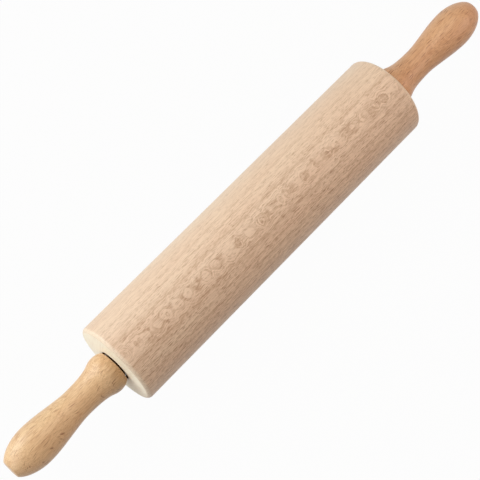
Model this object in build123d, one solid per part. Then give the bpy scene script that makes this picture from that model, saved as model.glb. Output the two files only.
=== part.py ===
from build123d import *
from math import acos, degrees, radians, sin, tan
import os

# Handled rolling pin: a turned beech barrel that spins on two ball bearings round a steel axle,
# with a turned beech handle screwed to each end of that axle.
# +X runs along the axle, +Z is up, and the origin is on the axle halfway along the barrel.
# Lengths are in millimetres.
# A piece that comes in pairs is made for the +X end, the right one, and turned round for the left.

# Barrel
barrel_length = 260.0
barrel_diameter = 60.0
barrel_edge_radius = 3.0
barrel_bore_clearance = 0.8  # between the bore and a bearing's inner ring
seat_mouth_chamfer = 0.4

# Moulded housing that seats each bearing in the barrel
housing_wall = 1.6
housing_floor = 1.5
housing_recess = 0.1  # how deep its rim lies below the barrel's end face
housing_mouth_chamfer = 0.3

# Bearings, of the common 8 by 19 by 6 size
bearing_outer_diameter = 19.0
ball_room_share = 7 / 11  # ball's diameter, of the room between journal and bearing's outside
ball_count = 7
bearing_side_margin = 1.25  # from a ball's side to the ring's end face
bearing_inset = 0.3  # how deep the rings lie below the barrel's end face
ring_chamfer = 0.3
race_radius_share = 0.52  # of the ball's diameter
land_height_share = 0.72  # of the ball's radius
ball_play = 0.01
shield_thickness = 0.3
shield_recess = 0.1
shield_lip_share = 0.1  # how far a shield reaches into the outer ring, of the same room
shield_running_gap = 0.2
cage_side_gap = 0.25
cage_radial_gap = 0.35
cage_pocket_clearance = 0.06

# Axle
journal_diameter = 8.0
axle_shoulder = 1.0  # step from a journal up to the axle's thick middle
axle_reach = 34.0  # how far the axle runs into a handle
axle_end_chamfer = 0.9

# Threaded insert in each handle
insert_length = 20.5
insert_wall = 1.4
insert_flange_diameter = 16.0
insert_flange_thickness = 1.2
thread_clearance = 0.05

# Threads and ribs are rings with flats at crest and root, which are shares of their pitch
thread_pitch = 1.25
thread_flat_shares = (0.125, 0.25)
wood_thread_pitch = 2.5
wood_thread_flat_shares = (0.1, 0.5)
housing_rib_pitch = 2.2
housing_rib_flat_shares = (0.15, 0.6)
flank_angle = 30.0

# Washer between each insert and its bearing's inner ring
washer_bore_clearance = 0.1
washer_edge_margin = 0.1

# Handles
running_gap = 1.0  # between a handle and the barrel
handle_length = 89.0
handle_shoulder_diameter = 27.4
handle_face_drop = 1.9  # from the shoulder's radius down to the inner face's
handle_face_edge_radius = 0.8
handle_neck_diameter = 20.4
handle_bulb_diameter = 27.5
handle_tip_diameter = 12.4
handle_tip_edge_radius = 2.0
handle_bore_end_gap = 2.0
shoulder_place_share = 0.072  # places along the handle's length
neck_place_share = 0.36
bulb_place_share = 0.76
shoulder_pull_share = 0.27  # how far the outline's curves stay level, of their run
neck_inner_pull_share = 0.85
neck_outer_pull_share = 0.26
bulb_pull_share = 0.34

# Fits
seat_clearance = 0.02  # radial clearance of what is pressed, glued or screwed home
cut_overrun = 1.0

# Sizes that follow from those above
barrel_radius = barrel_diameter / 2
barrel_end = barrel_length / 2
journal_radius = journal_diameter / 2
axle_radius = journal_radius + axle_shoulder
bearing_bore_radius = journal_radius + seat_clearance
bearing_outer_radius = bearing_outer_diameter / 2
bearing_room = bearing_outer_radius - journal_radius
ball_diameter = bearing_room * ball_room_share
ball_radius = ball_diameter / 2
bearing_width = ball_diameter + 2 * bearing_side_margin
bearing_middle = barrel_end - bearing_inset - bearing_width / 2
pitch_radius = journal_radius + bearing_room / 2
race_radius = ball_diameter * race_radius_share
inner_land_radius = pitch_radius - ball_radius * land_height_share
outer_land_radius = pitch_radius + ball_radius * land_height_share
shield_seat_radius = outer_land_radius + bearing_room * shield_lip_share
barrel_bore_radius = inner_land_radius + barrel_bore_clearance
housing_inner_radius = bearing_outer_radius + seat_clearance
housing_outer_radius = housing_inner_radius + housing_wall
housing_start = barrel_end - bearing_inset - bearing_width - housing_floor
handle_start = barrel_end + running_gap
washer_thickness = running_gap + bearing_inset
axle_end = handle_start + axle_reach
insert_end = handle_start + insert_length
insert_core_radius = journal_radius + thread_clearance + insert_wall


def turned(*outline):
    """The solid that a closed outline in X and radius sweeps round the axle."""
    return revolve(make_face(outline), axis=Axis.X)


def tube(start, end, inner, outer):
    """A plain ring along the axle."""
    return turned(Polyline((start, inner), (end, inner), (end, outer), (start, outer), close=True))


def ring_height(pitch, flat_shares):
    """How far a thread's crest stands above its root."""
    return pitch * (1 - sum(flat_shares)) / 2 / tan(radians(flank_angle))


def ringed(start, end, root, pitch, flat_shares):
    """As many whole rings as fit from start to end, as outline points in X and radius."""
    crest_flat, root_flat = (pitch * share for share in flat_shares)
    height = ring_height(pitch, flat_shares)
    flank = height * tan(radians(flank_angle))
    points = []
    for ring in range(int((end - start) / pitch)):
        rise = start + ring * pitch + root_flat / 2
        points.append((rise, root))
        points.append((rise + flank, root + height))
        points.append((rise + flank + crest_flat, root + height))
        points.append((rise + 2 * flank + crest_flat, root))
    return points


def widened(points, clearance):
    """The same outline points, moved out from the axle by a clearance."""
    return [(x, radius + clearance) for x, radius in points]


def half_turned(piece):
    """The same piece at the other end of the pin."""
    return Rot(0, 0, 180) * piece


def housing_outline():
    """The ribbed outside of a bearing housing, from its floor to its rim."""
    rim = barrel_end - housing_recess
    ribs = ringed(
        housing_start, rim, housing_outer_radius, housing_rib_pitch, housing_rib_flat_shares
    )
    return [(housing_start, housing_outer_radius), *ribs, (rim, housing_outer_radius)]


def barrel():
    """The beech barrel, with its rounded ends, its bore and a ribbed seat in each end."""
    body = tube(-barrel_end, barrel_end, barrel_bore_radius, barrel_radius)
    rims = body.edges().filter_by(GeomType.CIRCLE).group_by(SortBy.RADIUS)[-1]
    body = fillet(rims, barrel_edge_radius)
    outline = widened(housing_outline(), seat_clearance)
    seat_radius = outline[0][1]
    mouth_radius = seat_radius + seat_mouth_chamfer
    seat = turned(
        Polyline(
            (housing_start - seat_clearance, 0),
            (housing_start - seat_clearance, seat_radius),
            *outline[1:-1],
            (barrel_end - seat_mouth_chamfer, seat_radius),
            (barrel_end, mouth_radius),
            (barrel_end + cut_overrun, mouth_radius),
            (barrel_end + cut_overrun, 0),
            close=True,
        )
    )
    return body - seat - half_turned(seat)


def bearing_housing():
    """The moulded cup that is pressed into the barrel's end and holds the bearing."""
    floor_face = housing_start + housing_floor
    rim = barrel_end - housing_recess
    return turned(
        Polyline(
            (housing_start, barrel_bore_radius),
            *housing_outline(),
            (rim, housing_inner_radius + housing_mouth_chamfer),
            (rim - housing_mouth_chamfer, housing_inner_radius),
            (floor_face, housing_inner_radius),
            (floor_face, barrel_bore_radius),
            close=True,
        )
    )


def axle_rod():
    """The steel axle: a thick middle, then a journal and a thread at each end."""
    shoulder = bearing_middle - bearing_width / 2
    height = ring_height(thread_pitch, thread_flat_shares)
    root = journal_radius - height
    thread_end = axle_end - axle_end_chamfer
    rings = ringed(handle_start, thread_end, root, thread_pitch, thread_flat_shares)
    half = [
        (shoulder, axle_radius),
        (shoulder, journal_radius),
        (handle_start, journal_radius),
        (handle_start, root),
        *rings,
        (thread_end, root),
        (axle_end, root - axle_end_chamfer),
    ]
    other_half = [(-x, radius) for x, radius in reversed(half)]
    return turned(Polyline((-axle_end, 0), *other_half, *half, (axle_end, 0), close=True))


def inner_ring():
    """The bearing's inner ring, with the groove that the balls roll in."""
    side = bearing_width / 2
    blank = make_face(
        Polyline(
            (-side + ring_chamfer, bearing_bore_radius),
            (side - ring_chamfer, bearing_bore_radius),
            (side, bearing_bore_radius + ring_chamfer),
            (side, inner_land_radius),
            (-side, inner_land_radius),
            (-side, bearing_bore_radius + ring_chamfer),
            close=True,
        )
    )
    groove_centre = pitch_radius - ball_radius - ball_play + race_radius
    section = blank - Pos(0, groove_centre) * Circle(race_radius)
    return Pos(bearing_middle, 0) * revolve(section, axis=Axis.X)


def outer_ring():
    """The bearing's outer ring, with its groove and a step at each side for a shield."""
    side = bearing_width / 2
    step = side - shield_recess - shield_thickness
    blank = make_face(
        Polyline(
            (-side, shield_seat_radius),
            (-step, shield_seat_radius),
            (-step, outer_land_radius),
            (step, outer_land_radius),
            (step, shield_seat_radius),
            (side, shield_seat_radius),
            (side, bearing_outer_radius - ring_chamfer),
            (side - ring_chamfer, bearing_outer_radius),
            (-side + ring_chamfer, bearing_outer_radius),
            (-side, bearing_outer_radius - ring_chamfer),
            close=True,
        )
    )
    groove_centre = pitch_radius + ball_radius + ball_play - race_radius
    section = blank - Pos(0, groove_centre) * Circle(race_radius)
    return Pos(bearing_middle, 0) * revolve(section, axis=Axis.X)


def ball_places():
    """Where the balls' centres are, the first one at the top."""
    return [
        Pos(bearing_middle, 0) * Rot(360 * ball / ball_count, 0, 0) * Pos(0, 0, pitch_radius)
        for ball in range(ball_count)
    ]


def balls():
    """The loose steel balls of one bearing, as separate solids."""
    return Compound([place * Sphere(ball_radius) for place in ball_places()])


def cage():
    """The moulded cage that spaces the balls, with a round pocket for each."""
    side = bearing_width / 2 - shield_recess - shield_thickness - cage_side_gap
    ring = tube(
        bearing_middle - side,
        bearing_middle + side,
        inner_land_radius + cage_radial_gap,
        outer_land_radius - cage_radial_gap,
    )
    pocket_radius = ball_radius + cage_pocket_clearance
    return ring - [place * Sphere(pocket_radius) for place in ball_places()]


def shield(side):
    """A pressed steel dust shield in the outer ring: side is 1 towards the handle, -1 inwards."""
    outer_face = bearing_middle + side * (bearing_width / 2 - shield_recess)
    inner_face = outer_face - side * shield_thickness
    start, end = sorted((inner_face, outer_face))
    bore = inner_land_radius + shield_running_gap
    return tube(start, end, bore, shield_seat_radius - seat_clearance)


def washer():
    """The washer that holds the handle's end off the barrel."""
    bore = journal_radius + washer_bore_clearance
    rim = inner_land_radius - washer_edge_margin
    return tube(handle_start - washer_thickness, handle_start, bore, rim)


def insert_outline(clearance):
    """The outside of a threaded insert from its flange on, with a clearance all round."""
    flange_end = handle_start + insert_flange_thickness
    flange_radius = insert_flange_diameter / 2 + clearance
    core_radius = insert_core_radius + clearance
    rings = ringed(
        flange_end, insert_end, insert_core_radius, wood_thread_pitch, wood_thread_flat_shares
    )
    return [
        (handle_start, flange_radius),
        (flange_end + clearance, flange_radius),
        (flange_end + clearance, core_radius),
        *widened(rings, clearance),
        (insert_end + clearance, core_radius),
    ]


def threaded_insert():
    """The brass insert that the axle's thread screws into, with a flange at the handle's face."""
    root = journal_radius - ring_height(thread_pitch, thread_flat_shares)
    rings = ringed(handle_start, insert_end, root, thread_pitch, thread_flat_shares)
    inside = [(handle_start, root), *rings, (rings[-1][0], journal_radius)]
    inside.append((insert_end, journal_radius))
    inside = widened(inside, thread_clearance)
    return turned(Polyline(*insert_outline(0), *reversed(inside), close=True))


def handle():
    """The beech handle: shoulder, neck and bulb, bored from its inner face for the insert."""
    shoulder_radius = handle_shoulder_diameter / 2
    face_radius = shoulder_radius - handle_face_drop
    neck_radius = handle_neck_diameter / 2
    bulb_radius = handle_bulb_diameter / 2
    tip_radius = handle_tip_diameter / 2
    tip = handle_start + handle_length
    shoulder = handle_start + handle_length * shoulder_place_share
    neck = handle_start + handle_length * neck_place_share
    bulb = handle_start + handle_length * bulb_place_share
    shoulder_run = neck - shoulder
    bulb_run = bulb - neck
    tip_angle = acos(tip_radius / bulb_radius)
    tip_reach = (tip - bulb) / sin(tip_angle)

    face_curve = TangentArc(
        (shoulder, shoulder_radius), (handle_start, face_radius), tangent=(-1, 0)
    )
    neck_curve = Bezier(
        (shoulder, shoulder_radius),
        (shoulder + shoulder_run * shoulder_pull_share, shoulder_radius),
        (neck - shoulder_run * neck_inner_pull_share, neck_radius),
        (neck, neck_radius),
    )
    bulb_curve = Bezier(
        (neck, neck_radius),
        (neck + bulb_run * neck_outer_pull_share, neck_radius),
        (bulb - bulb_run * bulb_pull_share, bulb_radius),
        (bulb, bulb_radius),
    )
    tip_curve = EllipticalCenterArc(
        (bulb, 0),
        tip_reach,
        bulb_radius,
        start_angle=90 - degrees(tip_angle),
        arc_size=degrees(tip_angle),
    )
    ends = Polyline((tip, tip_radius), (tip, 0), (handle_start, 0), (handle_start, face_radius))
    solid = turned(face_curve, neck_curve, bulb_curve, tip_curve, ends)
    rims = solid.edges().filter_by(GeomType.CIRCLE).sort_by(Axis.X)
    solid = fillet(rims[0], handle_face_edge_radius)
    rims = solid.edges().filter_by(GeomType.CIRCLE).sort_by(Axis.X)
    solid = fillet(rims[-1], handle_tip_edge_radius)

    socket = insert_outline(seat_clearance)
    axle_hole_radius = journal_radius + thread_clearance
    bore_end = axle_end + handle_bore_end_gap
    bore = turned(
        Polyline(
            (handle_start - cut_overrun, 0),
            (handle_start - cut_overrun, socket[0][1]),
            *socket,
            (socket[-1][0], axle_hole_radius),
            (bore_end, axle_hole_radius),
            (bore_end + axle_hole_radius / 2, 0),
            close=True,
        )
    )
    return solid - bore


singles = {"barrel": barrel(), "axle_rod": axle_rod()}
pairs = {
    "handle": handle(),
    "handle_insert": threaded_insert(),
    "handle_washer": washer(),
    "bearing_housing": bearing_housing(),
    "bearing_outer_ring": outer_ring(),
    "bearing_inner_ring": inner_ring(),
    "bearing_balls": balls(),
    "bearing_cage": cage(),
    "bearing_outward_shield": shield(1),
    "bearing_inward_shield": shield(-1),
}

os.makedirs("parts", exist_ok=True)
for name, piece in singles.items():
    export_step(piece, f"parts/{name}.step")
for name, piece in pairs.items():
    export_step(piece, f"parts/{name}_right.step")
    export_step(half_turned(piece), f"parts/{name}_left.step")
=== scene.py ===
import math

import bmesh
import bpy
from mathutils import Euler, Matrix, Vector


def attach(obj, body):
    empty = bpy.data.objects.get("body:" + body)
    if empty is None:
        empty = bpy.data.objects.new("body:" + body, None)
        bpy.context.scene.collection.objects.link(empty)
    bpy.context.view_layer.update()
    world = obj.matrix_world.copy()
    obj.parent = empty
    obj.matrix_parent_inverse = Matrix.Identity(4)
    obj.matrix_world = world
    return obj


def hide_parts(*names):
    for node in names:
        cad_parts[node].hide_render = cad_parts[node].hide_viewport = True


# A handled rolling pin: a turned beech barrel that spins on a steel axle, with a turned beech
# handle at each end. The frame is the CAD's: +X along the axle to the right handle, +Z up, metres.

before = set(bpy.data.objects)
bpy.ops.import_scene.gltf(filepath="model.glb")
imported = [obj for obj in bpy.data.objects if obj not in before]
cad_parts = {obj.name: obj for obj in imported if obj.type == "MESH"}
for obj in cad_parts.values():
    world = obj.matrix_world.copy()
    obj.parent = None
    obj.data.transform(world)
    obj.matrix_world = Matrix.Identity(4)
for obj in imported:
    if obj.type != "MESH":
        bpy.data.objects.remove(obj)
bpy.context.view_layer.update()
print("frame loaded:", len(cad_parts), "CAD nodes")

mm = 0.001
white = (1, 1, 1, 1)
firstColour, secondColour, mixedColour = 6, 7, 2  # where a Mix node takes and gives its colours


def linearColour(code):
    # sRGB hex to the linear values that shaders take
    channels = [int(code[i:i + 2], 16) / 255 for i in (1, 3, 5)]
    return [c / 12.92 if c <= 0.04045 else ((c + 0.055) / 1.055) ** 2.4 for c in channels] + [1.0]


def addNode(tree, kind, settings=None, links=None):
    # settings: sockets by name or number, and the node's own properties
    # links: what comes in at a socket, a node standing for its first output
    node = tree.nodes.new("ShaderNode" + kind)
    for name, value in (settings or {}).items():
        if isinstance(name, int) or name in node.inputs:
            node.inputs[name].default_value = value
        else:
            setattr(node, name, value)
    for name, source in (links or {}).items():
        if isinstance(source, bpy.types.Node):
            source = source.outputs[0]
        tree.links.new(source, node.inputs[name])
    return node


def startMaterial(name, plainColour):
    material = bpy.data.materials.new(name)
    material.use_nodes = True
    material.diffuse_color = linearColour(plainColour)  # for Blender's solid view
    tree = material.node_tree
    return material, tree, tree.nodes["Principled BSDF"]


def joinShader(tree, shader, colour, rough, bump, plain):
    tree.links.new(colour.outputs[mixedColour], shader.inputs["Base Color"])
    tree.links.new(rough.outputs[0], shader.inputs["Roughness"])
    tree.links.new(bump.outputs[0], shader.inputs["Normal"])
    for socket, value in plain.items():  # the same all over the surface
        shader.inputs[socket].default_value = value


def measuredPlace(tree, turn=0.0, shift=(0, 0, 0)):
    # a piece's own coordinates in mm, turned round the axle by degrees and then shifted
    place = addNode(tree, "TexCoord")
    return addNode(
        tree, "Mapping",
        {"Scale": (1 / mm,) * 3, "Rotation": (math.radians(turn), 0, 0), "Location": shift},
        {"Vector": place.outputs["Object"]},
    )


def offAxis(tree, place):
    # how far a place lies from its own X axis
    across = addNode(tree, "VectorMath", {"operation": "MULTIPLY", 1: (0, 1, 1)}, {0: place})
    return addNode(tree, "VectorMath", {"operation": "LENGTH"}, {0: across}).outputs["Value"]


def addPatterns(tree, place, patterns):
    # noises on a place in mm; each has its sizes along X, Y and Z, then its detail and roughness
    noises = {}
    for name, (sizes, detail, roughness) in patterns.items():
        sized = addNode(tree, "Mapping", {"Scale": [1 / size for size in sizes]}, {"Vector": place})
        noises[name] = addNode(
            tree, "TexNoise", {"Scale": 1.0, "Detail": detail, "Roughness": roughness},
            {"Vector": sized},
        )
    return noises


def seenDirectly(tree):
    # 1 where something is looked at, mirrored or seen through glass, 0 for the light that it gives
    path = addNode(tree, "LightPath")
    seen = path.outputs["Is Camera Ray"]
    for way in ("Is Glossy Ray", "Is Transmission Ray"):
        seen = addNode(tree, "Math", {"operation": "MAXIMUM"}, {0: seen, 1: path.outputs[way]})
    return seen


cameraSetup = {  # the photo's angle
    "azimuth": -47.53,  # degrees round the pin, 0 looks along +Y
    "elevation": 66.38,
    "distance": 0.9526,  # metres from the pin's centre
    "turn": (-0.6007, 0.6147),  # degrees down and left, because the pin isn't in the middle
    "lens": 110.2,  # mm, as the sensor's width
    "sensorWidth": 36.0,
    "clip": (0.05, 20.0),  # metres
}

azimuth = math.radians(cameraSetup["azimuth"])
elevation = math.radians(cameraSetup["elevation"])
back = Vector((
    math.sin(azimuth) * math.cos(elevation),
    -math.cos(azimuth) * math.cos(elevation),
    math.sin(elevation),
))
turn = Euler([math.radians(angle) for angle in (*cameraSetup["turn"], 0)]).to_quaternion()
camera = bpy.data.objects.new("camera", bpy.data.cameras.new("camera"))
bpy.context.collection.objects.link(camera)
camera.location = back * cameraSetup["distance"]
camera.rotation_mode = "QUATERNION"
camera.rotation_quaternion = back.to_track_quat("Z", "Y") @ turn
camera.data.lens = cameraSetup["lens"]
camera.data.sensor_width = cameraSetup["sensorWidth"]
camera.data.clip_start, camera.data.clip_end = cameraSetup["clip"]
bpy.context.scene.camera = camera
print("camera placed")


stageSetup = {
    "floorHeight": -30.0,  # mm, the barrel rests on it
    "floorReach": 6.0,  # metres from the middle to each side
    "floorColour": "#9a9794",
    "floorRoughness": 0.9,
    "floorGloss": 0.2,
    "floorGlow": 0.97,  # how much of what the camera sees of the floor is plain white
    "worldColour": "#fff6e4",
    "worldStrength": 0.23,
}
lamps = {
    # name: place in metres, size in metres, watts, colour
    "key": ((-0.52, 0.86, 0.60), 0.9, 11.6, "#eefbff"),
    "side": ((-1.00, 0.20, 0.60), 0.6, 3.6, "#fffcfc"),
    "end": ((-1.20, -0.15, 0.25), 0.5, 1.1, "#ffffff"),
    "top": ((0.35, 0.05, 1.15), 0.8, 3.9, "#fff8f1"),
    "fill": ((0.80, -0.70, 0.50), 0.7, 4.7, "#ffe9dc"),
}

floorMesh = bpy.data.meshes.new("floor")
shape = bmesh.new()
bmesh.ops.create_grid(shape, x_segments=1, y_segments=1, size=stageSetup["floorReach"])
bmesh.ops.translate(shape, verts=shape.verts, vec=(0, 0, stageSetup["floorHeight"] * mm))
shape.to_mesh(floorMesh)
shape.free()
floor = bpy.data.objects.new("floor", floorMesh)
bpy.context.collection.objects.link(floor)

# matt paper sweep: white to the eye, but it still takes the pin's shadow
material, tree, shader = startMaterial("white_paper_sweep", stageSetup["floorColour"])
shader.inputs["Base Color"].default_value = linearColour(stageSetup["floorColour"])
shader.inputs["Roughness"].default_value = stageSetup["floorRoughness"]
shader.inputs["Specular IOR Level"].default_value = stageSetup["floorGloss"]
share = addNode(
    tree, "Math", {"operation": "MULTIPLY", 1: stageSetup["floorGlow"]}, {0: seenDirectly(tree)},
)
glow = addNode(tree, "Emission", {"Color": white, "Strength": 1.0})
blend = addNode(tree, "MixShader", {}, {0: share, 1: shader, 2: glow})
tree.links.new(blend.outputs[0], tree.nodes["Material Output"].inputs["Surface"])
floorMesh.materials.append(material)

# the room: faint and warm in the light that it gives, plain white where it is looked at
world = bpy.data.worlds.new("soft_white_room")
bpy.context.scene.world = world
world.use_nodes = True
tree = world.node_tree
room = tree.nodes["Background"]
seen = seenDirectly(tree)
strength = addNode(tree, "MapRange", {"To Min": stageSetup["worldStrength"]}, {"Value": seen})
tree.links.new(strength.outputs[0], room.inputs["Strength"])
tint = addNode(
    tree, "Mix",
    {
        "data_type": "RGBA",
        firstColour: linearColour(stageSetup["worldColour"]),
        secondColour: white,
    },
    {0: seen},
)
tree.links.new(tint.outputs[mixedColour], room.inputs["Color"])

for name, (place, size, watts, colour) in lamps.items():
    lamp = bpy.data.objects.new(name, bpy.data.lights.new(name, "AREA"))
    bpy.context.collection.objects.link(lamp)
    lamp.data.size = size
    lamp.data.energy = watts
    lamp.data.color = linearColour(colour)[:3]
    lamp.location = place
    lamp.rotation_euler = Vector(place).to_track_quat("Z", "Y").to_euler()  # towards the pin
bpy.context.scene.view_settings.view_transform = "Standard"
print("floor and lamps placed")


beechFigure = {
    # what the barrel's and the handles' beech share. Sizes are in mm along the grain, round the
    # pith and out from it. From and To say how much of a noise shows as a mark, and how darkly
    "unevenDepth": 7.0,  # mm of depth over which the rings' width changes
    "unevenRings": 2.0,
    # places in a ring from 0 to 1, and how dark it is there
    "lateLine": ((0.40, 0.05), (0.78, 0.45), (0.88, 1.0), (0.95, 0.9)),
    "dashSize": (4.5, 0.6, 1.2),
    "dashes": {"From Min": 0.42, "From Max": 0.62, "To Min": 0.25},
    "layerLength": 25.0,
    "layerEdge": 0.02,  # how near to its noise's middle a layer's edge is darkest
    "clusterSize": (9.0, 14.0, 14.0),
    "clusters": {"From Min": 0.38, "From Max": 0.6, "To Min": 0.35},
    "strokes": {"From Min": 0.4, "From Max": 0.6},
    "bendSize": (12.0, 5.0, 9.0),
    "bendReach": (0, 1.8, 1.8),
    "rays": {"interpolation_type": "SMOOTHSTEP", "From Min": 0.4, "From Max": 0.2},
    # pores are hair lines, drawn 0.3 mm wide because the real 0.05 mm can't show
    "poreSize": (7.0, 0.3, 0.3),
    "pores": {"From Min": 0.5, "From Max": 0.69},
    "patchSize": (70.0, 11.0, 11.0),
    "endLineSize": (4.0, 0.9, 14.0),
    "endLines": {"From Min": 0.45, "From Max": 0.7},
    "rayRelief": -0.5,  # where a pore's is 1
    "reliefDepth": 0.05,
    "ior": 1.5,
    "fuzzRoughness": 0.5,
}


def turnedBeech(name, wood):
    # beech: pale pinkish tan, growth rings with a thin dark late line, fine layers in each ring
    # that show as ovals where the rings lie flat, short dark ray flecks, hair-fine pore lines
    material, tree, shader = startMaterial(name, wood["colour"])

    # board space: mm, with the pith along X and the piece above it, in +Z
    board = measuredPlace(tree, wood["ringTurn"], wood["fromPith"])
    sides = addNode(tree, "SeparateXYZ", {}, {0: board})
    onBoard = addPatterns(tree, board, {
        "sway": (wood["swaySize"], 1.0, 0.4),
        "ripple": (wood["rippleSize"], 1.0, 0.4),
        "crinkle": (wood["crinkleSize"], 2.0, 0.6),
        "cluster": (beechFigure["clusterSize"], 1.0, 0.5),
        "stroke": (wood["strokeSize"], 2.0, 0.55),
    })

    # depth: distance from the pith, with a long sway, short ripples and a fine crinkle; a noise
    # runs from 0 to 1, so each height counts twice
    depth = offAxis(tree, board)
    for wave in ("sway", "ripple", "crinkle"):
        depth = addNode(
            tree, "Math", {"operation": "MULTIPLY_ADD", 1: 2 * wood[wave + "Height"]},
            {0: onBoard[wave], 2: depth},
        )

    # grain space: along the grain, round the pith, out from the pith, all in mm
    angle = addNode(
        tree, "Math", {"operation": "ARCTAN2"}, {0: sides.outputs["Y"], 1: sides.outputs["Z"]},
    )
    around = addNode(tree, "Math", {"operation": "MULTIPLY", 1: wood["fromPith"][2]}, {0: angle})
    grain = addNode(tree, "CombineXYZ", {}, {"X": sides.outputs["X"], "Y": around, "Z": depth})
    layerSize = (beechFigure["layerLength"], beechFigure["layerLength"], wood["layerWidth"])
    inGrain = addPatterns(tree, grain, {
        "dash": (beechFigure["dashSize"], 2.0, 0.6),
        "layer": (layerSize, wood["layerDetail"], 0.7),
        "bend": (beechFigure["bendSize"], 1.0, 0.5),
        "pore": (beechFigure["poreSize"], 2.0, 0.6),
        "patch": (beechFigure["patchSize"], 2.0, 0.5),
        "endLine": (beechFigure["endLineSize"], 2.0, 0.6),
    })

    # growth rings: one dark late line each, broken up into dashes by the rays that cross it
    unevenness = addNode(
        tree, "TexNoise",
        {"noise_dimensions": "1D", "Scale": 1 / beechFigure["unevenDepth"], "Detail": 1.0},
        {"W": depth},
    )
    count = addNode(tree, "Math", {"operation": "DIVIDE", 1: wood["ringWidth"]}, {0: depth})
    count = addNode(
        tree, "Math", {"operation": "MULTIPLY_ADD", 1: beechFigure["unevenRings"]},
        {0: unevenness, 2: count},
    )
    phase = addNode(tree, "Math", {"operation": "FRACT"}, {0: count})
    late = addNode(tree, "ValToRGB", {}, {0: phase})
    tones = late.color_ramp.elements
    tones[1].color = (0, 0, 0, 1)  # a ring ends as pale as it starts
    for position, tone in beechFigure["lateLine"]:
        tones.new(position).color = (tone, tone, tone, 1)
    dashes = addNode(tree, "MapRange", beechFigure["dashes"], {"Value": inGrain["dash"]})
    ringDark = addNode(tree, "Math", {"operation": "MULTIPLY"}, {0: late, 1: dashes})

    # off the crest, where the rings no longer lie flat, the ovals fade, gaps open between the
    # strokes and the pores come out in full
    offCrest = addNode(tree, "Math", {"operation": "ABSOLUTE"}, {0: sides.outputs["Y"]})
    crestEffects = {
        # strength on the crest, and away from it
        "ovals": (1.0, wood["crestShare"]),
        "betweenStrokes": (wood["betweenStrokes"], 0.0),
        "pores": (wood["crestPores"], 1.0),
    }
    byCrest = {}
    for effect, (onCrest, beyond) in crestEffects.items():
        byCrest[effect] = addNode(
            tree, "MapRange",
            {
                "From Min": wood["crestFrom"], "From Max": wood["crestTo"],
                "To Min": onCrest, "To Max": beyond,
            },
            {"Value": offCrest},
        )

    # fine layers inside a ring, with edges where their noise passes its middle: too close to see
    # but where they lie flat, and there they make ovals; the rays cut the edges into strokes
    edge = addNode(tree, "Math", {"operation": "SUBTRACT", 1: 0.5}, {0: inGrain["layer"]})
    edge = addNode(tree, "Math", {"operation": "ABSOLUTE"}, {0: edge})
    layerDark = addNode(
        tree, "MapRange", {"From Min": wood["layerLine"], "From Max": beechFigure["layerEdge"]},
        {"Value": edge},
    )
    clusters = addNode(tree, "MapRange", beechFigure["clusters"], {"Value": onBoard["cluster"]})
    strokes = addNode(
        tree, "MapRange", beechFigure["strokes"],
        {"Value": onBoard["stroke"], "To Min": byCrest["betweenStrokes"]},
    )
    for part in (clusters, strokes, byCrest["ovals"]):
        layerDark = addNode(tree, "Math", {"operation": "MULTIPLY"}, {0: layerDark, 1: part})

    # rays: plates that run out from the pith, seen edge on as short dashes
    bent = addNode(
        tree, "VectorMath", {"operation": "MULTIPLY_ADD", 1: beechFigure["bendReach"]},
        {0: inGrain["bend"].outputs["Color"], 2: grain},
    )
    rayAt = addNode(
        tree, "Mapping", {"Scale": [1 / size for size in wood["raySize"]]}, {"Vector": bent},
    )
    rayCell = addNode(tree, "TexVoronoi", {"Scale": 1.0}, {"Vector": rayAt})
    ray = addNode(tree, "MapRange", beechFigure["rays"], {"Value": rayCell.outputs["Distance"]})
    rayPick = addNode(tree, "SeparateColor", {}, {0: rayCell.outputs["Color"]})
    rayShown = addNode(tree, "MapRange", {"From Min": 1 - wood["rayShare"]}, {"Value": rayPick})
    rays = addNode(tree, "Math", {"operation": "MULTIPLY"}, {0: ray, 1: rayShown})

    # broad patches of pinker and yellower wood, then the dark marks, painted fainter towards the
    # board's +Y side: a painted highlight, the wash of strong light over the barrel's lit upper
    # side
    colour = addNode(
        tree, "Mix",
        {
            "data_type": "RGBA",
            firstColour: linearColour(wood["pinkColour"]),
            secondColour: linearColour(wood["colour"]),
        },
        {0: inGrain["patch"]},
    )
    # painted highlight: full marks on one side of the board, fading across it to a share on the
    # other
    paintedHighlight = addNode(
        tree, "MapRange",
        {
            "From Min": wood["paintedHighlightFrom"], "From Max": wood["paintedHighlightTo"],
            "To Min": 1.0, "To Max": wood["paintedHighlightShare"],
        },
        {"Value": sides.outputs["Y"]},
    )
    marks = (
        (layerDark, wood["layerStrength"], wood["lateColour"]),
        (ringDark, wood["ringStrength"], wood["lateColour"]),
        (rays, wood["rayStrength"], wood["rayColour"]),
    )
    for mark, strength, markColour in marks:
        share = addNode(tree, "Math", {"operation": "MULTIPLY", 1: strength}, {0: mark})
        share = addNode(tree, "Math", {"operation": "MULTIPLY"}, {0: share, 1: paintedHighlight})
        colour = addNode(
            tree, "Mix", {"data_type": "RGBA", secondColour: linearColour(markColour)},
            {0: share, firstColour: colour.outputs[mixedColour]},
        )
    poreDark = addNode(
        tree, "MapRange", {**beechFigure["pores"], "To Max": wood["poreStrength"]},
        {"Value": inGrain["pore"]},
    )
    for part in (paintedHighlight, byCrest["pores"]):
        poreDark = addNode(tree, "Math", {"operation": "MULTIPLY"}, {0: poreDark, 1: part})
    colour = addNode(
        tree, "Mix", {"data_type": "RGBA", secondColour: linearColour(wood["rayColour"])},
        {0: poreDark, firstColour: colour.outputs[mixedColour]},
    )
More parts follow.
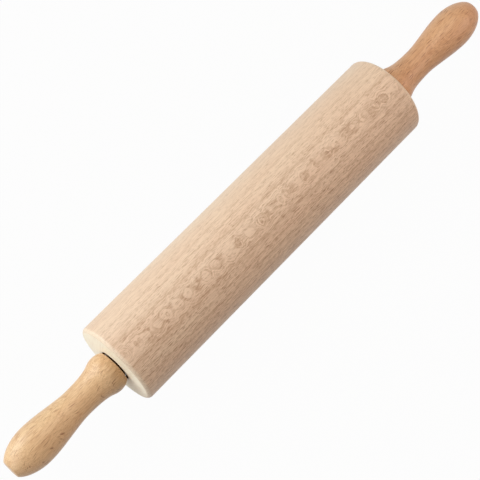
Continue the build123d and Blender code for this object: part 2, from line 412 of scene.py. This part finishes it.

    # end grain, where the surface faces along the axle: chalky pale, from cut and sanded fibre
    # ends; the rounded edge is a mix of both, on the barrel partly real and partly a painted
    # highlight that makes the rounded rim paler, and the rays stand out as faint radial lines
    surface = addNode(tree, "NewGeometry")
    facing = addNode(tree, "SeparateXYZ", {}, {0: surface.outputs["Normal"]})
    facing = addNode(tree, "Math", {"operation": "ABSOLUTE"}, {0: facing.outputs["X"]})
    endOn = addNode(tree, "ValToRGB", {}, {0: facing})
    for position, tone in wood["endBlend"]:
        endOn.color_ramp.elements.new(position).color = (tone, tone, tone, 1)
    endOn = addNode(tree, "Math", {"operation": "MULTIPLY", 1: wood["endShare"]}, {0: endOn})
    lined = addNode(
        tree, "MapRange", {**beechFigure["endLines"], "To Max": wood["endLines"]},
        {"Value": inGrain["endLine"]},
    )
    ringed = addNode(
        tree, "Math", {"operation": "MULTIPLY_ADD", 1: wood["endRings"]}, {0: late, 2: lined},
    )
    endTone = addNode(
        tree, "Mix",
        {
            "data_type": "RGBA",
            firstColour: linearColour(wood["endColour"]),
            secondColour: linearColour(wood["colour"]),
        },
        {0: ringed},
    )
    colour = addNode(
        tree, "Mix", {"data_type": "RGBA"},
        {
            0: endOn,
            firstColour: colour.outputs[mixedColour],
            secondColour: endTone.outputs[mixedColour],
        },
    )

    # sanded: the pores are a little rougher than the wood between them, and stand out with the
    # rays in a faint relief
    rough = addNode(
        tree, "MapRange", {"To Min": wood["roughness"][0], "To Max": wood["roughness"][1]},
        {"Value": inGrain["pore"]},
    )
    height = addNode(
        tree, "Math", {"operation": "MULTIPLY_ADD", 1: beechFigure["rayRelief"]},
        {0: rays, 2: inGrain["pore"]},
    )
    bump = addNode(
        tree, "Bump",
        {"Strength": wood["bumpStrength"], "Distance": beechFigure["reliefDepth"] * mm},
        {"Height": height},
    )
    joinShader(tree, shader, colour, rough, bump, {
        "IOR": beechFigure["ior"],
        "Specular IOR Level": wood["gloss"],
        "Sheen Weight": wood["fuzz"],  # sanded fibres pale at a low angle
        "Sheen Roughness": beechFigure["fuzzRoughness"],
    })
    return material


weldDistance = 0.0005 * mm
sharpAngle = 32.0  # degrees between two faces, from which their edge isn't smoothed


def latheMesh(rings, steps):
    # rings: (along, radius) in mm, spun once round the axle
    shape = bmesh.new()
    verts = [shape.verts.new((along * mm, 0, radius * mm)) for along, radius in rings]
    edges = [shape.edges.new(pair) for pair in zip(verts, verts[1:])]
    bmesh.ops.spin(
        shape, geom=verts + edges, cent=(0, 0, 0), axis=(1, 0, 0), dvec=(0, 0, 0),
        angle=math.tau, steps=steps, use_merge=True, use_duplicate=False,
    )
    bmesh.ops.remove_doubles(shape, verts=shape.verts, dist=weldDistance)
    return shape


def finishPiece(name, shape, body, material, node):
    bmesh.ops.recalc_face_normals(shape, faces=shape.faces)
    mesh = bpy.data.meshes.new(name)
    for face in shape.faces:
        face.smooth = True
    shape.to_mesh(mesh)
    shape.free()
    mesh.set_sharp_from_angle(angle=math.radians(sharpAngle))
    mesh.materials.append(material)
    piece = bpy.data.objects.new(name, mesh)
    bpy.context.collection.objects.link(piece)
    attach(piece, body)
    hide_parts(node)
    return piece


barrelSetup = {
    # mm
    "halfLength": 130.0,
    "radius": 30.0,
    "edgeRadius": 3.0,
    "boreRadius": 6.29,
    "seatRadius": 11.14,  # the seat of each bearing housing
    "seatFloor": 122.18,
    "seatMouth": (129.6, 11.54),  # where the seat flares, and its radius at the end face
    "ribs": (122.86, 125.06, 127.26),  # where each rib of the bearing housing bites in
    "ribSize": (0.275, 0.33, 0.4763),  # flank, crest, height
    "steps": 160,
    "edgeSegments": 10,
    "wood": {
        "colour": "#e5ccb2",
        "pinkColour": "#debca1",
        "lateColour": "#966a43",
        "rayColour": "#8f6344",
        "endColour": "#faefd7",
        "endShare": 0.95,
        # how much a face looks along the axle, and how much of it is end grain then; the paleness
        # over the rounded rim, between 0.4 and 0.93, is partly a painted highlight
        "endBlend": ((0.1, 0.03), (0.4, 0.26), (0.93, 0.42), (0.99, 0.97)),
        "endLines": 0.35,
        "endRings": 0.2,
        "ringTurn": -16.6,  # degrees round the axle
        "fromPith": (0.0, 0.0, 120.0),  # mm, the axle's place in the trunk
        "ringWidth": 2.6,
        "ringStrength": 0.5,
        "layerWidth": 0.22,
        "layerDetail": 1.0,
        "layerLine": 0.09,
        "layerStrength": 0.62,
        "paintedHighlightFrom": 0.0,  # mm across the board, 0 is the crest where the rings lie flat; from here the marks are painted fainter, a painted highlight
        "paintedHighlightTo": 24.0,
        "paintedHighlightShare": 0.4,
        "crestFrom": 3.0,  # mm from the crest, to either side
        "crestTo": 16.0,
        "crestShare": 0.3,  # what is left of the ovals beyond it
        "crestPores": 0.5,
        "swaySize": (90.0, 60.0, 60.0),  # mm along, round and out from the pith
        "swayHeight": 0.5,
        "rippleSize": (5.2, 20.0, 20.0),
        "rippleHeight": 0.4,
        "crinkleSize": (2.0, 1.3, 1.3),
        "crinkleHeight": 0.018,
        "strokeSize": (2.6, 0.8, 0.8),
        "betweenStrokes": 0.45,  # what is left of a layer's edge there, on the crest
        "raySize": (4.0, 0.6, 6.0),
        "rayShare": 0.6,
        "rayStrength": 0.6,
        "poreStrength": 0.85,
        "roughness": (0.4, 0.55),
        "bumpStrength": 0.5,
        "gloss": 0.5,
        "fuzz": 0.1,
    },
}


def barrelShape():
    end, radius = barrelSetup["halfLength"], barrelSetup["radius"]
    seatFloor, seat = barrelSetup["seatFloor"], barrelSetup["seatRadius"]
    mouth, mouthRadius = barrelSetup["seatMouth"]
    flank, crest, height = barrelSetup["ribSize"]
    half = [(seatFloor, barrelSetup["boreRadius"]), (seatFloor, seat)]
    for start in barrelSetup["ribs"]:
        half += [(start, seat), (start + flank, seat + height)]
        half += [(start + flank + crest, seat + height), (start + 2 * flank + crest, seat)]
    half += [(mouth, seat), (end, mouthRadius), (end, radius)]
    outline = [(-along, out) for along, out in reversed(half)] + half
    shape = latheMesh(outline + outline[:1], barrelSetup["steps"])
    nearly = 0.001 * mm
    rims = [
        edge for edge in shape.edges
        if all(abs(v.co.yz.length - radius * mm) < nearly for v in edge.verts)
        and abs(edge.verts[0].co.x - edge.verts[1].co.x) < nearly
    ]
    bmesh.ops.bevel(
        shape, geom=rims, offset=barrelSetup["edgeRadius"] * mm, offset_type="OFFSET",
        affect="EDGES", segments=barrelSetup["edgeSegments"], profile=0.5, material=-1,
    )
    return shape


barrel = finishPiece(
    "turned_barrel", barrelShape(), "barrel",
    turnedBeech("sanded_beech_barrel", barrelSetup["wood"]), "barrel",
)
print("barrel turned:", len(barrel.data.polygons), "faces")


handleSetup = {
    # outline of the right handle in mm: along, radius, then the curve handles before and after
    "outline": (
        ((131.0, 11.356), (131.0, 11.0), (131.0, 11.638)),  # face
        ((131.39, 12.043), (131.148, 11.899), (133.211, 13.128)),  # face's rounded edge
        ((137.408, 13.7), (135.289, 13.7), (144.329, 13.7)),  # shoulder
        ((163.04, 10.2), (141.253, 10.2), (172.296, 10.2)),  # neck
        ((198.64, 13.75), (186.536, 13.75), (207.228, 13.75)),  # bulb
        ((219.418, 6.822), (215.157, 11.106), (219.791, 6.447)),  # tip's rounded edge
        ((220.0, 5.411), (220.0, 5.94), (220.0, 5.0)),  # tip
    ),
    "curvePoints": 14,  # between two of those
    "bore": (  # along, radius
        (131.0, 8.02), (132.22, 8.02),  # washer's seat
        (132.22, 5.47), (151.52, 5.47),  # insert's hole
        (151.52, 4.05), (167.0, 4.05), (169.02, 0.0),  # drilled hole for the axle's end
    ),
    "steps": 112,
    "wood": {
        "colour": "#e5c49a",
        "pinkColour": "#d9af83",
        "lateColour": "#ae764a",
        "rayColour": "#864f2d",
        "endColour": "#cea374",
        "endShare": 0.5,
        "endBlend": ((0.72, 0.0), (0.98, 1.0)),
        "endLines": 0.2,
        "endRings": 0.2,
        "ringTurn": 30.0,
        "ringWidth": 2.2,
        "ringStrength": 0.45,
        "layerWidth": 0.34,
        "layerDetail": 2.0,
        "layerLine": 0.1,
        "layerStrength": 0.45,
        # painted highlight: the marks fade slightly across the board
        "paintedHighlightFrom": -60.0,
        "paintedHighlightTo": 60.0,
        "paintedHighlightShare": 0.8,
        "crestFrom": 6.0,
        "crestTo": 14.0,
        "crestShare": 0.8,
        "crestPores": 1.0,
        "swaySize": (60.0, 30.0, 30.0),
        "swayHeight": 1.5,
        "rippleSize": (22.0, 12.0, 12.0),
        "rippleHeight": 0.6,
        "crinkleSize": (5.0, 1.6, 1.6),
        "crinkleHeight": 0.06,
        "strokeSize": (6.0, 0.9, 0.9),
        "betweenStrokes": 0.1,
        "raySize": (9.0, 0.4, 3.0),
        "rayShare": 0.65,
        "rayStrength": 0.8,
        "poreStrength": 0.45,
        "roughness": (0.3, 0.45),
        "bumpStrength": 0.4,
        "gloss": 0.4,
        "fuzz": 0.05,
    },
    # where each handle was cut from the trunk; the right one is redder
    "left": {"fromPith": (40.0, 5.0, 90.0)},
    "right": {
        "fromPith": (-13.0, -8.0, 80.0), "ringTurn": -20.0,
        "colour": "#dbaf85", "pinkColour": "#ce9871",
        "raySize": (9.0, 0.55, 3.0), "rayShare": 0.85, "rayStrength": 1.0,
    },
}


def handleOutline():
    # points of the outline's curve in mm, sorted from the face to the tip
    curve = bpy.data.curves.new("handle_outline", "CURVE")
    curve.resolution_u = handleSetup["curvePoints"]
    line = curve.splines.new("BEZIER")
    line.bezier_points.add(len(handleSetup["outline"]) - 1)
    for point, places in zip(line.bezier_points, handleSetup["outline"]):
        point.handle_left_type = point.handle_right_type = "FREE"
        point.co, point.handle_left, point.handle_right = [
            (along, 0, radius) for along, radius in places
        ]
    holder = bpy.data.objects.new("handle_outline", curve)
    mesh = bpy.data.meshes.new_from_object(holder)
    decimals = 4
    points = {(round(v.co.x, decimals), round(v.co.z, decimals)) for v in mesh.vertices}
    bpy.data.objects.remove(holder)
    bpy.data.curves.remove(curve)
    bpy.data.meshes.remove(mesh)
    return sorted(points)


def handleShape(side):
    points = handleOutline()
    faceAt, tipAt = handleSetup["outline"][0][0][0], handleSetup["outline"][-1][0][0]
    nearly = 0.00005
    # the flat face and tip hold one x each, so their points go by radius, outwards and inwards
    face = [point for point in points if point[0] < faceAt + nearly]
    tip = [point for point in points if point[0] > tipAt - nearly]
    between = [point for point in points if point not in face and point not in tip]
    rings = [*reversed(handleSetup["bore"]), *face, *between, *reversed(tip), (tipAt, 0.0)]
    shape = latheMesh(rings, handleSetup["steps"])
    if side == "left":
        halfTurn = Matrix.Rotation(math.pi, 3, "Z")
        bmesh.ops.rotate(shape, verts=shape.verts, cent=(0, 0, 0), matrix=halfTurn)
    return shape


for side in ("left", "right"):
    wood = {**handleSetup["wood"], **handleSetup[side]}
    piece = finishPiece(
        "turned_handle_" + side, handleShape(side), "axle_and_handles",
        turnedBeech("oiled_beech_handle_" + side, wood), "handle_" + side,
    )
    print("handle turned:", piece.name, len(piece.data.polygons), "faces")


# The metal, nylon and rubber pieces of the axle and the bearings keep their CAD shapes. Their
# nodes are named here without left or right, and widths are in mm.

metals = {
    # lathe marks of 0.1 mm and grinding lines of 0.02 mm are drawn coarser so that they show
    # bright turned bar: grey, with close rings round it that stretch the highlights crosswise
    "turned_mild_steel": {
        "nodes": ("axle_rod",), "colour": "#b9babc", "stainColour": "#a5a6a8",
        "edgeColour": "#ffffff", "turned": True, "markWidth": 0.2, "stainWidth": 9.0,
        "roughness": (0.24, 0.42), "bumpStrength": 0.5,
    },
    # free-cutting brass off an automatic lathe: warm yellow with fine bright rings
    "machined_brass": {
        "nodes": ("handle_insert",), "colour": "#d9bf7d", "stainColour": "#c5a35c",
        "edgeColour": "#ffffff", "turned": True, "markWidth": 0.16, "stainWidth": 4.0,
        "roughness": (0.2, 0.36), "bumpStrength": 0.4,
    },
    # stamped and blackened in an oil bath: dark and dull; its rusty red cast and the red edge tint
    # of its sheen are painted shade, the red of light bounced between the beech faces of the gap
    "blackened_steel_painted_gap_shade": {
        "nodes": ("handle_washer",), "colour": "#4c1b0d", "stainColour": "#572312",
        "edgeColour": "#a04a30", "turned": False, "markWidth": 0.5, "stainWidth": 1.5,
        "roughness": (0.42, 0.6), "bumpStrength": 0.3,
    },
    # hardened and ground: bright grey, sharper reflections than the axle's
    "ground_bearing_steel": {
        "nodes": ("bearing_outer_ring", "bearing_inner_ring"),
        "colour": "#c4c5c8", "stainColour": "#b6b7bb",
        "edgeColour": "#ffffff", "turned": True, "markWidth": 0.09, "stainWidth": 6.0,
        "roughness": (0.12, 0.24), "bumpStrength": 0.2,
    },
    # lapped balls: mirror bright
    "polished_ball_steel": {
        "nodes": ("bearing_balls",), "colour": "#d2d3d6", "stainColour": "#c8c9cd",
        "edgeColour": "#ffffff", "turned": False, "markWidth": 0.3, "stainWidth": 2.0,
        "roughness": (0.04, 0.09), "bumpStrength": 0.05,
    },
}
metalSurface = {
    "marks": {"Detail": 2.0, "Roughness": 0.6},
    "stains": {"Detail": 3.0, "Roughness": 0.55},
    "markSpread": {"From Min": 0.3, "From Max": 0.7},
    "reliefDepth": 0.01,
}


def workedMetal(name, metal):
    # bare metal: rings from the lathe or the grinder, or mottling where it was stamped or lapped
    material, tree, shader = startMaterial(name, metal["colour"])
    measured = measuredPlace(tree)
    worked = measured
    if metal["turned"]:  # the same all the way round the axle
        sides = addNode(tree, "SeparateXYZ", {}, {0: measured})
        worked = addNode(
            tree, "CombineXYZ", {}, {"X": sides.outputs["X"], "Y": offAxis(tree, measured)},
        )
    mark = addNode(
        tree, "TexNoise", {**metalSurface["marks"], "Scale": 1 / metal["markWidth"]},
        {"Vector": worked},
    )
    stain = addNode(
        tree, "TexNoise", {**metalSurface["stains"], "Scale": 1 / metal["stainWidth"]},
        {"Vector": measured},
    )
    colour = addNode(
        tree, "Mix",
        {
            "data_type": "RGBA",
            firstColour: linearColour(metal["colour"]),
            secondColour: linearColour(metal["stainColour"]),
        },
        {0: stain},
    )
    low, high = metal["roughness"]
    rough = addNode(
        tree, "MapRange", {**metalSurface["markSpread"], "To Min": low, "To Max": high},
        {"Value": mark},
    )
    bump = addNode(
        tree, "Bump",
        {"Strength": metal["bumpStrength"], "Distance": metalSurface["reliefDepth"] * mm},
        {"Height": mark},
    )
    joinShader(tree, shader, colour, rough, bump, {
        "Metallic": 1.0,
        "Specular Tint": linearColour(metal["edgeColour"]),  # at a low angle
    })
    return material


polymers = {
    # the spark-eroded skin of a mould is finer than 0.12 mm and is drawn coarser
    # glass-filled nylon, dyed dark: matt, with faint flow streaks; its deep red-brown is painted
    # shade, the red of light bounced between the beech faces of the gap
    "dark_nylon_painted_gap_shade": {
        "nodes": ("bearing_housing",), "colour": "#581706", "flowColour": "#491205",
        "flowWidth": 4.0, "skinWidth": 0.12,
        "roughness": (0.42, 0.58), "bumpStrength": 0.5, "gloss": 0.0,
    },
    # nitrile rubber lip over a steel core: dark and dull, the darkest part of the gap; its
    # red-brown is painted shade, the red of light bounced between the beech faces there
    "dark_rubber_painted_gap_shade": {
        "nodes": ("bearing_outward_shield", "bearing_inward_shield"),
        "colour": "#5c1709", "flowColour": "#4d1207",
        "flowWidth": 3.0, "skinWidth": 0.15,
        "roughness": (0.6, 0.75), "bumpStrength": 0.4, "gloss": 0.0,
    },
    # undyed nylon, honey coloured and slightly waxy
    "moulded_natural_nylon": {
        "nodes": ("bearing_cage",), "colour": "#c4a878", "flowColour": "#b3945f",
        "flowWidth": 2.0, "skinWidth": 0.12,
        "roughness": (0.38, 0.52), "bumpStrength": 0.4, "gloss": 0.5,
    },
}
polymerSurface = {
    "flow": {"Detail": 2.0, "Distortion": 1.2},
    "skin": {"Detail": 2.0},
    "reliefDepth": 0.01,
    "ior": 1.53,
}


def mouldedPolymer(name, polymer):
    # out of a mould: faint flow mottling, and a fine matt skin from the tool
    material, tree, shader = startMaterial(name, polymer["colour"])
    measured = measuredPlace(tree)
    flow = addNode(
        tree, "TexNoise", {**polymerSurface["flow"], "Scale": 1 / polymer["flowWidth"]},
        {"Vector": measured},
    )
    skin = addNode(
        tree, "TexNoise", {**polymerSurface["skin"], "Scale": 1 / polymer["skinWidth"]},
        {"Vector": measured},
    )
    colour = addNode(
        tree, "Mix",
        {
            "data_type": "RGBA",
            firstColour: linearColour(polymer["colour"]),
            secondColour: linearColour(polymer["flowColour"]),
        },
        {0: flow},
    )
    low, high = polymer["roughness"]
    rough = addNode(tree, "MapRange", {"To Min": low, "To Max": high}, {"Value": skin})
    bump = addNode(
        tree, "Bump",
        {"Strength": polymer["bumpStrength"], "Distance": polymerSurface["reliefDepth"] * mm},
        {"Height": skin},
    )
    joinShader(tree, shader, colour, rough, bump, {
        "IOR": polymerSurface["ior"],
        "Specular IOR Level": polymer["gloss"],
    })
    return material


for make, finishes in ((workedMetal, metals), (mouldedPolymer, polymers)):
    for name, finish in finishes.items():
        material = make(name, finish)
        for node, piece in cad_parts.items():
            if node.removesuffix("_left").removesuffix("_right") in finish["nodes"]:
                piece.data.materials.clear()
                piece.data.materials.append(material)
print("bearing and axle materials:", len(metals) + len(polymers))
